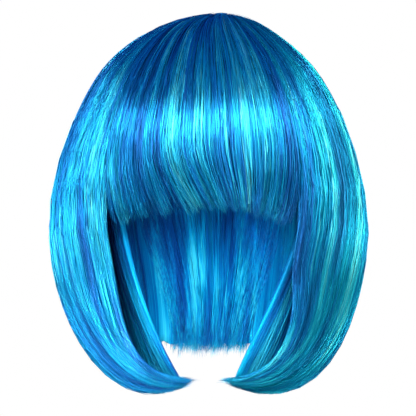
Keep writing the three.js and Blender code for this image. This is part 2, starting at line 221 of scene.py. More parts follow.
OUTER_ENDS = (hem_table(SIDE_EDGE_LEFT, OUTER_HEM), hem_table(SIDE_EDGE_RIGHT, OUTER_HEM))
INNER_ENDS = (hem_table(UNDER_EDGE_LEFT, INNER_HEM), hem_table(UNDER_EDGE_RIGHT, INNER_HEM))


# %% Read a table at any azimuth
def row_at(rows, value):
    """A cubic curve through the rows of a table whose first column is the key. Its slope at a
    row is that of the line from the row before to the row after."""
    value = np.asarray(value, float)
    keys = rows[:, 0]
    high = np.clip(np.searchsorted(keys, value), 1, len(keys) - 1)
    low = high - 1
    before = np.maximum(high - 2, 0)
    after = np.minimum(high + 1, len(keys) - 1)
    rise = (keys[high] - keys[low])[..., None]
    share = (value[..., None] - keys[low][..., None]) / rise
    step = rows[high] - rows[low]
    slope_low = rise * (rows[high] - rows[before]) / (keys[high] - keys[before])[..., None]
    slope_high = rise * (rows[after] - rows[low]) / (keys[after] - keys[low])[..., None]
    curve = 3.0 * step - 2.0 * slope_low - slope_high
    turn = slope_low + slope_high - 2.0 * step
    return rows[low] + share * (slope_low + share * (curve + share * turn))


# %% Bend a strand to its end
def mix(a, b, share):
    """From a to b by a share."""
    return a + (b - a) * share


def around_front(azimuth):
    """An azimuth counted from the front to either side, from -180 to 180."""
    return np.where(azimuth > 180.0, azimuth - 360.0, azimuth)


def bend(ends, azimuth, start, direction, share):
    """A cubic Bezier curve with four points: the start, a point along the strand's direction,
    a point that the end is reached from, and the end in the hem."""
    turn = around_front(azimuth)
    side = np.where(turn < 0.0, -1.0, 1.0)
    left = row_at(ends[0], np.abs(turn))
    right = row_at(ends[1], np.abs(turn))
    row = np.where((turn < 0.0)[..., None], left, right)
    _, end_side, ahead, drop, lead, draw, flare, sag = np.moveaxis(row, -1, 0)
    end_x = side * HALF_WIDTH * end_side
    end_y = -FRONT_REACH * ahead
    end_z = TOP_THICKNESS - HEIGHT * drop
    end = np.stack([end_x, end_y, end_z], axis=-1)
    leaving = start + direction * (HEIGHT * lead)[..., None]
    leaving[..., 0] -= side * HALF_WIDTH * draw
    arriving_x = mix(end_x, start[..., 0], flare) + LEAN
    arriving_y = mix(end_y, start[..., 1], flare)
    arriving = np.stack([arriving_x, arriving_y, end_z - HEIGHT * sag], axis=-1)
    s = share[..., None]
    r = 1.0 - s
    return r**3 * start + 3 * r * r * s * leaving + 3 * r * s * s * arriving + s**3 * end


# %% The outer layer: the side locks and the back
def outer_layer(azimuth, travel):
    """The dome down to travel 1, and from there the bend to the hem, which ends at travel 2."""
    azimuth, travel = np.broadcast_arrays(np.asarray(azimuth, float), np.asarray(travel, float))
    on_dome = dome(azimuth, np.minimum(travel, 1.0))
    start = dome(azimuth, 1.0)
    direction = start - dome(azimuth, 0.99)
    direction = direction / np.linalg.norm(direction, axis=-1, keepdims=True)
    below = bend(OUTER_ENDS, azimuth, start, direction, np.maximum(travel - 1.0, 0.0))
    return np.where((travel > 1.0)[..., None], below, on_dome)


def outer_thickness(azimuth, travel):
    """Thick at the crown, thin at the hem, and thinner towards the front edges."""
    share = np.clip((travel - CROWN_LEVEL) / (2.0 - CROWN_LEVEL), 0.0, 1.0)
    turn = around_front(azimuth)
    from_front = np.abs(turn) - np.where(turn < 0.0, SIDE_EDGE_LEFT[0], SIDE_EDGE_RIGHT[0])
    taper = mix(0.35, 1.0, ease(from_front / 22.0))
    full = mix(HEM_THICKNESS, EDGE_THICKNESS, (1.0 - share) ** 1.6)
    return full * mix(1.0, taper, ease(4.0 * share))


# %% The inner layer: the under locks and the nape
INNER_GAP = 0.8 * MM


def inner_layer(azimuth, travel):
    """It starts on the inner face of the outer layer, and bends straight down to its own hem."""
    azimuth, travel = np.broadcast_arrays(np.asarray(azimuth, float), np.asarray(travel, float))
    inset = outer_thickness(azimuth, INNER_LEVEL) + INNER_GAP
    facing = outwards(outer_layer, azimuth, np.full(azimuth.shape, INNER_LEVEL))
    start = outer_layer(azimuth, INNER_LEVEL) - facing * inset[..., None]
    down = np.zeros(start.shape)
    down[..., 2] = -1.0
    return bend(INNER_ENDS, azimuth, start, down, travel)


def inner_thickness(azimuth, travel):
    """From 7 mm at the start to 2.2 mm at the hem, the same at every azimuth."""
    return mix(INNER_THICKNESS, INNER_END_THICKNESS, np.clip(travel, 0.0, 1.0))


# %% The fringe: combed aside and tucked in as it falls
FRINGE_COMB = np.array([
    (-1.0, 0.01),
    (-0.65, 0.1),
    (-0.28, 0.19),
    (0.14, 0.1),
    (0.5, 0.0),
    (0.76, -0.05),
    (1.0, -0.01),
])
COMB_START = 0.4
FRINGE_TUCK = 9 * MM


def fringe_place(azimuth):
    """Where an azimuth lies in the fringe, from -1 at its left corner to 1 at its right one."""
    return azimuth / np.where(azimuth < 0.0, SIDE_EDGE_LEFT[0], SIDE_EDGE_RIGHT[0])


def fringe_share(travel):
    """How far down the fringe a travel lies, from 0 at the crown to 1 at its ends."""
    return (travel - CROWN_LEVEL) / (FRINGE_LEVEL - CROWN_LEVEL)


def fringe_layer(azimuth, travel):
    """The dome, shifted sideways by the comb, and inwards by the cube of the way down."""
    azimuth, travel = np.broadcast_arrays(np.asarray(azimuth, float), np.asarray(travel, float))
    share = np.maximum(fringe_share(travel), 0.0)
    combed = ease((share - COMB_START) / (1.0 - COMB_START)) * share
    shift = row_at(FRINGE_COMB, np.clip(fringe_place(azimuth), -1.0, 1.0))[..., 1]
    point = dome(azimuth, travel)
    point[..., 0] += HALF_WIDTH * shift * combed
    return point - outwards(dome, azimuth, travel) * (FRINGE_TUCK * share**3)[..., None]


def fringe_thickness(azimuth, travel):
    """From 20 mm under the crown to 3.5 mm at the ends, the same at every azimuth."""
    share = np.clip(fringe_share(travel), 0.0, 1.0)
    return mix(FRINGE_END_THICKNESS, EDGE_THICKNESS, (1.0 - share) ** 1.3)


def crown_thickness(azimuth, travel):
    """From 14 mm at the top to 20 mm at the crown's edge, the same at every azimuth."""
    return mix(TOP_THICKNESS, EDGE_THICKNESS, ease(travel / CROWN_LEVEL))


# %% [markdown]
# ## Locks
#
# Combed hair doesn't lie as one sheet. It gathers into locks about two fingers wide, and each lock
# into wisps a few millimetres wide. A section says from where to where it goes and how many locks
# it has. The locks match the ridges on the solids. The wisps are finer and only live here.

# %% Sections: first and last azimuth, and how many locks
LEFT_EDGE = 360.0 - SIDE_EDGE_LEFT[0]
RIGHT_EDGE = SIDE_EDGE_RIGHT[0]
RIGHT_BACK = 118.0
LEFT_BACK = 242.0
SECTIONS = {
    "fringe": (LEFT_EDGE - 360.0, RIGHT_EDGE, 11),
    "right": (RIGHT_EDGE, RIGHT_BACK, 8),
    "back": (RIGHT_BACK, LEFT_BACK, 12),
    "left": (LEFT_BACK, LEFT_EDGE, 8),
    "under_right": (64.0, 130.0, 4),
    "under_left": (230.0, 306.0, 4),
    "nape": (130.0, 230.0, 8),
}
CROWN_SECTIONS = ("fringe", "right", "back", "left")
WISPS_PER_LOCK = 4


def in_lock(section, azimuth):
    """The number of the lock that an azimuth is in, and how far across it, from 0 to 1."""
    first, last, locks = section
    place = np.clip((azimuth - first) / (last - first) * locks, 0.0, locks - 1e-6)
    return np.floor(place), place - np.floor(place)


def lock_height(section, azimuth):
    """sin(pi times the way across), as high as the lock's own length 0.8 + 0.2 cos(2.4 n)."""
    number, across = in_lock(section, azimuth)
    return np.sin(np.pi * across) * (0.8 + 0.2 * np.cos(2.4 * number))


def crown_lock_height(azimuth):
    """The crown's locks are the upper parts of the locks below it."""
    heights = [lock_height(SECTIONS[name], azimuth) for name in CROWN_SECTIONS]
    return np.choose(np.searchsorted((RIGHT_EDGE, RIGHT_BACK, LEFT_BACK), azimuth), heights)


# %% [markdown]
# ## Making strands
#
# Blender has hair curves, but they have no faces, so nothing of them would be left in the exported
# model. Each strand here is a thin closed tube with three sides, flat below and with a ridge on
# top, that swells from a point at its root and ends in a point. Thousands of them are worked out
# together, as arrays with one row for a strand and one column for a point along it.

# %% Carry a three-sided profile along every path
RIDGE_OF_STRAND = 0.84


def tubes(path, facing, width):
    """path, facing: strands x points x 3; width: strands x points. The first and last point of a
    path become tips. Between them stands a triangle: left = path - across width/2,
    right = path + across width/2, ridge = path + facing 0.42 width."""
    strands, points, _ = path.shape
    along = np.gradient(path, axis=1)
    across = np.cross(along, facing)
    across /= np.maximum(np.linalg.norm(across, axis=-1, keepdims=True), 1e-12)
    half = 0.5 * width[..., None]
    left = path - across * half
    right = path + across * half
    ridge = path + facing * (RIDGE_OF_STRAND * half)
    rings = np.stack([left, ridge, right], axis=2)[:, 1:-1].reshape(strands, -1, 3)
    corners = np.concatenate([path[:, :1], rings, path[:, -1:]], axis=1)
    return corners.reshape(-1, 3), tube_faces(strands, points)


def tube_faces(strands, points):
    """Corner numbers of the triangles: a fan at the root, three strips, a fan at the tip."""
    rings = points - 2
    per_strand = 3 * rings + 2
    side = np.arange(3)
    following = (side + 1) % 3
    ring = 1 + 3 * np.arange(rings - 1)[:, None]
    a, b = ring + side, ring + following
    c, d = a + 3, b + 3
    strips = np.concatenate([np.stack([a, b, c], -1), np.stack([b, d, c], -1)]).reshape(-1, 3)
    root = np.stack([np.zeros(3, int), 1 + following, 1 + side], -1)
    last = 1 + 3 * (rings - 1)
    tip = np.stack([np.full(3, per_strand - 1), last + side, last + following], -1)
    one = np.concatenate([root, strips, tip])
    return (one[None] + per_strand * np.arange(strands)[:, None, None]).reshape(-1, 3)


def per_corner(values):
    """Spread strands x points values to the tubes' corners."""
    rings = np.repeat(values[:, 1:-1], 3, axis=1)
    return np.concatenate([values[:, :1], rings, values[:, -1:]], axis=1).reshape(-1)


# %% Comb strands along a layer
def swell(share, root, tip):
    """A strand's width along it: up from 0 over root, and down to 0 over tip, rounded."""
    up = np.clip(share / root, 0.0, 1.0)
    down = np.clip((1.0 - share) / tip, 0.0, 1.0)
    return np.sqrt(up * (2.0 - up)) * down**0.7


NEAR_TIP = 0.004


def stations(points):
    """Shares along a strand: even steps, and one more point close to either tip."""
    even = np.linspace(0.0, 1.0, points - 2)
    return np.concatenate([[0.0, NEAR_TIP], even[1:-1], [1.0 - NEAR_TIP, 1.0]])[None]


SINK = 1.1 * MM
INNER_LIFT = 0.3 * MM
ROOT_DEPTH = 2.4 * MM
WISP_LIFT = 0.35 * MM
BOB = 0.25 * MM


def comb(section, layer, height, thickness, azimuth, start, end, points, width,
         depth=0.0, wave=0.25, gather=0.5, loose=0.45, fray=0.8, tip=0.3, converge=0.0,
         aside=0.0, facing_layer=None):
    """Strands from start to end (travel, one number a strand). Each keeps its azimuth, apart from
    a slow wave and a pull towards the middle of its wisp that grows with the cube of the way
    down. depth is 0 on the outer face of the wall and 1 on its inner face. wave and aside are in
    degrees, loose and fray in millimetres, gather, tip and converge are shares. converge draws
    all strands towards the middle of the back as they fall, and aside turns each one's end by its
    own angle, so that it crosses the others."""
    strands = len(azimuth)
    share = stations(points)
    travel = mix(start[:, None], end[:, None], share)
    depth = np.broadcast_to(depth, strands)[:, None]
    first, last, locks = section
    size = (last - first) / (locks * WISPS_PER_LOCK)
    number = np.floor((azimuth - first) / size)[:, None]
    middle = first + size * (number + 0.5 + 0.3 * np.sin(7.3 * number))
    pull = gather * chance.uniform(0.2, 1.0, (strands, 1)) * share**3
    turns = chance.uniform(0.6, 1.7, (strands, 1))
    phase, bob = chance.uniform(0.0, 2 * np.pi, (2, strands, 1))
    waving = wave * (np.sin(2 * np.pi * turns * share + phase) - np.sin(phase) * (1.0 - share))
    lie = mix(azimuth[:, None], middle, pull) + waving
    lie = mix(lie, 180.0, converge * ease(share)) + np.reshape(aside, (-1, 1)) * share**2.5
    own = chance.normal(0.0, loose * MM, (strands, 1)) + WISP_LIFT * np.sin(3.1 * number + 1.0)
    rise = own + BOB * np.sin(2 * np.pi * turns * share + bob)
    emerge = np.where(start < BELOW_CROWN, 0.05, 0.25)[:, None]
    rise = rise - ROOT_DEPTH * (1.0 - ease((travel - start[:, None]) / emerge))
    on_outer = height(lie, travel) - SINK + rise
    on_inner = -thickness(lie, travel) + INNER_LIFT - rise
    out = outwards(facing_layer or layer, lie, travel)
    path = layer(lie, travel) + out * mix(on_outer, on_inner, depth)[..., None]
    up = out * np.where(depth > 0.5, -1.0, 1.0)[..., None]
    across = np.cross(np.gradient(path, axis=1), up)
    across /= np.maximum(np.linalg.norm(across, axis=-1, keepdims=True), 1e-12)
    frayed = fray * MM * chance.normal(0.0, 1.0, (2, strands, 1)) * share**5
    path = path + up * frayed[0][..., None] + across * frayed[1][..., None]
    roll = chance.normal(0.0, 0.35, (strands, 1, 1))
    narrow = np.clip(along_column(SIDES, travel) / 0.55, 0.08, 1.0)
    wide = width[:, None] * swell(share, 0.12, tip) * narrow
    corners, faces = tubes(path, up * np.cos(roll) + across * np.sin(roll), wide)
    tone = lie + chance.normal(0.0, 0.8, (strands, 1))
    reach = np.degrees(0.5 * wide / HALF_WIDTH)
    sides = np.stack([tone - reach, tone, tone + reach], axis=2)[:, 1:-1].reshape(strands, -1)
    u = np.concatenate([tone[:, :1], sides, tone[:, -1:]], axis=1).ravel()
    return corners, faces, np.stack([u, per_corner(travel)], axis=-1)


print("a strand of 16 points has", len(tube_faces(1, 16)), "triangles")


# %% [markdown]
# ## The wall behind the strands
#
# Behind the strands lies a closed wall, the same shape as the solid but finer and set in a little,
# so that no light shows between the strands. It is a grid of points on the outer face, another on
# the inner face, and strips that join their edges.

# %% Close a wall from an outer and an inner grid
def closed_wall(outer, inner, ring=False, pole=False):
    """outer, inner: columns x rows x 3. Returns corners and triangles. A ring joins its last
    column to its first. With a pole, the whole first row is one corner."""
    columns, rows, _ = outer.shape
    number = np.arange(2 * columns * rows).reshape(2, columns, rows)
    if pole:
        number[:, :, 0] = number[:, :1, 0]
    if ring:
        number = np.concatenate([number, number[:, :1]], axis=1)
    out, inn = number
    quads = [
        (out[:-1, :-1], out[:-1, 1:], out[1:, 1:], out[1:, :-1]),
        (inn[:-1, :-1], inn[1:, :-1], inn[1:, 1:], inn[:-1, 1:]),
        (out[:-1, -1], inn[:-1, -1], inn[1:, -1], out[1:, -1]),
    ]
    if not pole:
        quads.append((out[:-1, 0], out[1:, 0], inn[1:, 0], inn[:-1, 0]))
    if not ring:
        quads.append((out[0, :-1], inn[0, :-1], inn[0, 1:], out[0, 1:]))
        quads.append((out[-1, :-1], out[-1, 1:], inn[-1, 1:], inn[-1, :-1]))
    faces = []
    for a, b, c, d in quads:
        a, b, c, d = (np.ravel(v) for v in (a, b, c, d))
        faces.append(np.stack([a, b, c], -1))
        faces.append(np.stack([a, c, d], -1))
    faces = np.concatenate(faces)
    a, b, c = faces.T
    corners = np.concatenate([outer.reshape(-1, 3), inner.reshape(-1, 3)])
    return corners, faces[(a != b) & (b != c) & (a != c)]


COLUMNS_PER_LOCK = 6
WALL_INSET = 1.9 * MM
INNER_SIDE_SHIFT = (0.5, 0.012)


def level_start(travel):
    """The same travel at every azimuth."""
    return lambda azimuth: 0.0 * azimuth + travel


def wall(section, layer, height, thickness, start, end, rows, facing_layer=None, ring=False,
         pole=False, azimuths=None):
    """The wall of one section. Its outer face is set in a little, its inner face is the solid's.
    start and end give the travel of its first and last row at any azimuth."""
    first, last, locks = section
    if azimuths is None:
        azimuths = np.linspace(first, last, locks * COLUMNS_PER_LOCK + 1)
    azimuth = np.broadcast_to(azimuths[:, None], (len(azimuths), rows + 1))
    share = np.linspace(0.0, 1.0, rows + 1)[None]
    travel = mix(start(azimuths)[:, None], end(azimuths)[:, None], share)
    out = outwards(facing_layer or layer, azimuth, travel)
    if pole:
        out[:, 0] = (0.0, 0.0, 1.0)
    point = layer(azimuth, travel)
    outer = point + out * (height(azimuth, travel) - WALL_INSET)[..., None]
    inner = point - out * thickness(azimuth, travel)[..., None]
    corners, faces = closed_wall(outer, inner, ring, pole)
    lie = np.stack([azimuth, travel], axis=-1).reshape(-1, 2)
    return corners, faces, np.concatenate([lie, lie + INNER_SIDE_SHIFT])


# %% [markdown]
# ## Putting a piece together
#
# One piece is a wall and its strands in one mesh. It carries two maps of the surface. The first
# keeps each point's azimuth and travel, and the colour is read from it. The second is the same
# map stretched to fill a picture.

# %% Build a mesh from corners, triangles and their lie
PICTURE_MARGIN = 0.01


def make_piece(name, parts, materials, node):
    corners, faces, lies, stuff, shift = [], [], [], [], 0
    for part_corners, part_faces, part_lie, material in parts:
        corners.append(part_corners)
        faces.append(part_faces + shift)
        lies.append(part_lie)
        stuff.append(np.full(len(part_faces), material, np.int32))
        shift += len(part_corners)
    corners, faces = np.concatenate(corners), np.concatenate(faces)
    lie, stuff = np.concatenate(lies)[faces], np.concatenate(stuff)
    wraps = np.ptp(lie[..., 0], axis=1) > 180.0
    lie[wraps, :, 0] += np.where(lie[wraps, :, 0] < LEFT_EDGE - 180.0, 360.0, 0.0)
    mesh = bpy.data.meshes.new(name)
    mesh.vertices.add(len(corners))
    mesh.vertices.foreach_set("co", corners.astype(np.float32).ravel())
    mesh.loops.add(faces.size)
    mesh.loops.foreach_set("vertex_index", faces.astype(np.int32).ravel())
    mesh.polygons.add(len(faces))
    mesh.polygons.foreach_set("loop_start", 3 * np.arange(len(faces), dtype=np.int32))
    mesh.polygons.foreach_set("material_index", stuff)
    mesh.polygons.foreach_set("use_smooth", np.ones(len(faces), bool))
    mesh.update(calc_edges=True)
    low, high = lie.min(axis=(0, 1)), lie.max(axis=(0, 1))
    picture = PICTURE_MARGIN + (1.0 - 2.0 * PICTURE_MARGIN) * (lie - low) / (high - low)
    for map_name, values in (("OFBake", picture), ("HairLie", lie * (1.0 / 360.0, 1.0))):
        layer = mesh.uv_layers.new(name=map_name)
        layer.data.foreach_set("uv", values.astype(np.float32).ravel())
    for material in materials:
        mesh.materials.append(material)
    piece = bpy.data.objects.new(name, mesh)
    bpy.context.collection.objects.link(piece)
    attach(piece, "root")
    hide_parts(node)
    print(f"{name}: {len(faces)} triangles")


# %% [markdown]
# ## The hair's finish
#
# Synthetic hair is a bundle of smooth plastic fibres. Seen close, no two are the same blue: navy
# ones lie beside cyan ones, and each keeps its tone from root to tip. So the colour comes from
# noise that is very fine across the strands and very long along them. The shine comes from the
# shader and the lamps. Some light and shade is painted into the colour as well: painted shade near
# the top of the crown and at the top of the inner curtain, painted light at the curtain's ends,
# and a painted reflection that turns the right side's hue towards green.

# %% Helpers for shader nodes and materials
def add_node(tree, kind, inputs=None, **settings):
    """Make a node, set its settings, then its inputs: a value, or another node's output."""
    node = tree.nodes.new(kind)
    for key, value in settings.items():
        setattr(node, key, value)
    for key, value in (inputs or {}).items():
        if isinstance(value, bpy.types.NodeSocket):
            tree.links.new(value, node.inputs[key])
        else:
            node.inputs[key].default_value = value
    return node


def new_material(name, settings):
    """A material, its tree and its shader, whose inputs are set to constant values."""
    material = bpy.data.materials.new(name)
    material.use_nodes = True
    shader = material.node_tree.nodes["Principled BSDF"]
    for key, value in settings.items():
        shader.inputs[key].default_value = value
    return material, material.node_tree, shader


def noise_along_hair(tree, across, along, detail, seed):
    """Noise of the hair's lie, with its azimuth and its travel stretched by their own amounts."""
    lie = add_node(tree, "ShaderNodeUVMap", uv_map="HairLie")
    stretched = add_node(tree, "ShaderNodeMapping", {
        "Vector": lie.outputs["UV"],
        "Location": (seed, seed * 1.7, 0.0),
        "Scale": (across, along, 1.0),
    })
    noise = add_node(tree, "ShaderNodeTexNoise", {
        "Vector": stretched.outputs["Vector"],
        "Scale": 1.0,
        "Detail": detail,
        "Roughness": 0.6,
    })
    return noise.outputs["Fac"]


def calculate(tree, operation, first, second):
    """A Math node's result for two numbers or outputs."""
    node = add_node(tree, "ShaderNodeMath", {0: first, 1: second}, operation=operation)
    return node.outputs[0]


def weighted_sum(tree, first, weight, second):
    """first + weight (second - 0.5)."""
    centred = calculate(tree, "SUBTRACT", second, 0.5)
    return calculate(tree, "ADD", first, calculate(tree, "MULTIPLY", centred, weight))


def graded(tree, value, span, results):
    """From the first result to the second, as value goes over the span, with soft ends."""
    node = add_node(tree, "ShaderNodeMapRange", {
        "Value": value,
        "From Min": span[0],
        "From Max": span[1],
        "To Min": results[0],
        "To Max": results[1],
    }, interpolation_type="SMOOTHSTEP")
    return node.outputs["Result"]


# %% The hair material: spans of travel, and of the azimuth as a share of a full turn
# Where the painted light at the ends of the inner curtain comes in, as travel
PAINTED_LIGHT_ENDS_SPAN = (0.93, 1.0)
# Where the painted reflection on the right side rises and falls, as a share of a full turn
PAINTED_REFLECTION_RISES = (25.0 / 360.0, 70.0 / 360.0)
PAINTED_REFLECTION_FALLS = (100.0 / 360.0, 160.0 / 360.0)
UNTURNED_HUE = 0.5
PALE_CYAN = (0.1, 0.7, 1.0, 1.0)


def hair_material(name, tones, roughness, metallic, bumpy, coat=0.03, painted_teal_reflection=0.0, broad=1.0,
                  shaded=0.0, shade_span=(0.25, 0.65), painted_light_ends=0.0):
    """tones: (place, colour) stops from the darkest fibre to the lightest. teal is how far the hue
    turns on the right side of the wig, a painted reflection tint, and broad how much whole locks
    differ in tone. shaded is painted shade: the hair above the shade span is darker by that much.
    painted_light_ends is painted light: the ends of the inner curtain are lighter."""
    material, tree, shader = new_material(name, {
        "Roughness": roughness,
        "Metallic": metallic,
        "Specular IOR Level": 0.4,
        "Specular Tint": PALE_CYAN,
        "Coat Weight": coat,
        "Coat Roughness": 0.3,
    })
    fibres = noise_along_hair(tree, across=800.0, along=1.6, detail=2.0, seed=3.1)
    wisps = noise_along_hair(tree, across=85.0, along=0.9, detail=2.0, seed=8.2)
    locks = noise_along_hair(tree, across=30.0, along=1.0, detail=1.0, seed=5.4)
    tone = weighted_sum(tree, weighted_sum(tree, fibres, 1.1, wisps), broad, locks)
    lie = add_node(tree, "ShaderNodeUVMap", uv_map="HairLie")
    parts = add_node(tree, "ShaderNodeSeparateXYZ", {"Vector": lie.outputs["UV"]})
    # Painted shade: the tone is darker by shaded at the top, easing off over the shade span.
    shade = graded(tree, parts.outputs["Y"], shade_span, (-shaded, 0.0))
    # Painted light: the tone is lighter by painted_light_ends over the last part of the travel.
    light = graded(tree, parts.outputs["Y"], PAINTED_LIGHT_ENDS_SPAN, (0.0, painted_light_ends))
    tone = calculate(tree, "ADD", calculate(tree, "ADD", tone, shade), light)
    ramp = add_node(tree, "ShaderNodeValToRGB", {"Fac": tone})
    stops = ramp.color_ramp.elements
    while len(stops) < len(tones):
        stops.new(0.5)
    for stop, (place, colour) in zip(stops, tones):
        stop.position = place
        stop.color = (*colour, 1.0)
    # Painted reflection: the hue turns towards green on the right side of the wig, and back again
    # towards the back
    rising = graded(tree, parts.outputs["X"], PAINTED_REFLECTION_RISES, (0.0, 1.0))
    falling = graded(tree, parts.outputs["X"], PAINTED_REFLECTION_FALLS, (painted_teal_reflection, 0.0))
    turned = calculate(tree, "MULTIPLY", rising, falling)
    tinted = add_node(tree, "ShaderNodeHueSaturation", {
        "Hue": calculate(tree, "SUBTRACT", UNTURNED_HUE, turned),
        "Color": ramp.outputs["Color"],
    })
    tree.links.new(tinted.outputs["Color"], shader.inputs["Base Color"])
    if bumpy:
        bump = add_node(tree, "ShaderNodeBump", {
            "Strength": 0.6,
            "Distance": 0.8 * MM,
            "Height": fibres,
        })
        tree.links.new(bump.outputs["Normal"], shader.inputs["Normal"])
    return material


BLUES = (
    (0.15, (0.0, 0.045, 0.18)),
    (0.4, (0.0, 0.12, 0.34)),
    (0.6, (0.0, 0.26, 0.42)),
    (0.74, (0.025, 0.41, 0.5)),
    (0.92, (0.14, 0.53, 0.59)),
)
DEEP_BLUES = (
    (0.15, (0.0, 0.035, 0.2)),
    (0.4, (0.0, 0.12, 0.36)),
    (0.62, (0.0, 0.26, 0.49)),
    (0.88, (0.03, 0.48, 0.67)),
)
# The outer strands' finish has painted shade near the top of the crown, and a painted reflection on
# the right side.
strand_finish = hair_material(
    "hair_strands", BLUES, roughness=0.31, metallic=0.85, bumpy=False, coat=0.22, painted_teal_reflection=0.04,
    shaded=0.07, shade_span=(0.3, 0.55),
)
# The wall's finish has a slighter painted reflection on the right side.
wall_finish = hair_material(
    "hair_wall", DEEP_BLUES, roughness=0.5, metallic=0.2, bumpy=True, painted_teal_reflection=0.02,
)
# The inner strands are the same hair as the outer ones, in a copy of their finish made to look lit:
# less metallic, on its own colour ramp, with painted shade at the top, where the fringe shades them,
# and painted light at their ends.
inner_finish = hair_material(
    "inner_hair_strands", DEEP_BLUES, roughness=0.5, metallic=0.1, bumpy=False, broad=1.5,
    shaded=0.3, painted_light_ends=0.3,
)
print("hair finishes:", strand_finish.name, wall_finish.name, inner_finish.name)

# %% [markdown]
# ## The crown
#
# The crown's strands all come out of the whorl and run down like the lines of longitude on a
# globe. There is less and less room for them towards the whorl, so each gets narrower there, and
# some start lower down. At the parting, a short dark slit in front of the whorl, all of them do.
# Their ends reach a little over the pieces below, at different lengths, so that the seam between
# the pieces can't be seen.


# %% How high each section's locks stand
PRESSED_AT_WHORL = 0.8 * MM
PRESSED_ON_LEFT = 1.8 * MM
PRESSED_AZIMUTH = -75.0
CURL_CLOSER = 1.2 * MM


def pressed(azimuth, travel):
    """How much flatter the hair lies: 0.8 mm round the whorl, and 1.8 mm high on the left."""
    round_whorl = ease(8.0 * travel) * (1.0 - ease(2.0 * travel))
    on_left = ease(1.0 - np.abs(around_front(azimuth) - PRESSED_AZIMUTH) / 75.0)
    below_whorl = ease((travel - 0.1) / 0.25)
    return PRESSED_AT_WHORL * round_whorl + PRESSED_ON_LEFT * on_left * below_whorl


def crown_height(section=None):
    """The ridge grows from nothing at the whorl to its full height at the crown's edge. Without a
    section, a column takes its lock from the section below it."""
    def height(azimuth, travel):
        lock = lock_height(section, azimuth) if section else crown_lock_height(azimuth)
        ridge = RIDGE * np.clip(travel / CROWN_LEVEL, 0.0, 1.0) * lock
        return ridge - pressed(azimuth, travel)
    return height


# %% Comb the crown
SECTION_MARGIN = 0.2


def scatter(section, strands):
    """Random azimuths over a section."""
    return chance.uniform(section[0] + SECTION_MARGIN, section[1] - SECTION_MARGIN, strands)


def thickness_range(strands, thin, thick):
    """Random widths: most are thin, a few are thick."""
    return mix(thin, thick, chance.random(strands) ** 1.6) * MM


CROWN_STRANDS = {"fringe": 500, "right": 380, "back": 440, "left": 380}
CROWN_OVERLAP = (0.015, 0.16)
PARTING = -5.0
PARTING_HALF = 3.0
PARTING_END = 0.14
crown_parts = []
for name, strands in CROWN_STRANDS.items():
    section = SECTIONS[name]
    azimuth = scatter(section, strands)
    lower = CROWN_LEVEL * np.sqrt(chance.random(strands)) * 0.6
    start = np.where(chance.random(strands) < 0.7, chance.uniform(0.0, 0.05, strands), lower)
    at_parting = np.abs(azimuth - PARTING) < PARTING_HALF
    start = np.where(at_parting, np.maximum(start, PARTING_END), start)
    end = CROWN_LEVEL + chance.uniform(*CROWN_OVERLAP, strands)
    crown_parts.append((*comb(
        section, dome, crown_height(section), crown_thickness, azimuth, start, end, points=14,
        width=thickness_range(strands, 0.6, 1.6), gather=0.0, wave=0.3, fray=0.1, tip=0.16,
    ), 0))
WHOLE_CROWN = (LEFT_EDGE - 360.0, LEFT_EDGE, sum(SECTIONS[name][2] for name in CROWN_SECTIONS))
crown_columns = np.concatenate([
    np.linspace(*SECTIONS[name][:2], COLUMNS_PER_LOCK * SECTIONS[name][2], endpoint=False)
    for name in CROWN_SECTIONS
])
crown_parts.append((*wall(
    WHOLE_CROWN, dome, crown_height(), crown_thickness, level_start(0.0),
    level_start(CROWN_LEVEL), rows=14, azimuths=crown_columns, ring=True, pole=True,
), 1))
make_piece("crown_hair", crown_parts, (strand_finish, wall_finish), "crown")

# %% [markdown]
# ## The fringe
#
# The fringe is cut straight over the brow, but not with a ruler. Its locks end in points, strands
# differ by a few millimetres, and a few cross the others on their own way. It is combed to one
# side in the middle, so its layer shifts the strands as they fall. The strays that cross the
# others each have an azimuth, an angle aside and a size between STRAY_LOW and STRAY_HIGH.


# %% Where the fringe ends
def travel_of(length, layer, azimuth, end):
    """How much travel a length along the strands is, near the end of a layer."""
    step = layer(azimuth, end) - layer(azimuth, end - 0.02)
    return 0.02 * length / np.linalg.norm(step, axis=-1)


def fringe_end(azimuth):
    """Lower towards the corners by the square of the place, and each lock ends in a point."""
    corner = FRINGE_CORNER_DROP * fringe_place(azimuth) ** 2
    point = (5 * MM / HEIGHT) * (1.0 - lock_height(SECTIONS["fringe"], azimuth))
    return level_of_drop(FRINGE_DROP + corner - point)


def fringe_height(azimuth, travel):
    """The ridge halves on the way down."""
    share = np.clip(fringe_share(travel), 0.0, 1.0)
    return RIDGE * (1.0 - 0.5 * share) * lock_height(SECTIONS["fringe"], azimuth)


# %% Comb the fringe
INNER_SHARE = 0.1
CUT_SHORT_SHARE = 0.12


def cut(end, layer, azimuth, uneven, short):
    """Ends that differ by uneven, as a bell curve, with one strand in eight cut shorter by up
    to short."""
    strands = len(azimuth)
    off = chance.normal(0.0, uneven, strands)
    cut_short = chance.random(strands) < CUT_SHORT_SHARE
    off = off - np.where(cut_short, chance.uniform(0.0, short, strands), 0.0)
    return end + travel_of(1.0, layer, azimuth, end) * off


def below_seam(strands, share_low, lowest):
    """Starts: most just above the crown's edge, under its strands, and some further down."""
    high = BELOW_CROWN - chance.uniform(0.0, 0.06, strands)
    low = BELOW_CROWN + lowest * chance.random(strands)
    return np.where(chance.random(strands) < share_low, low, high)


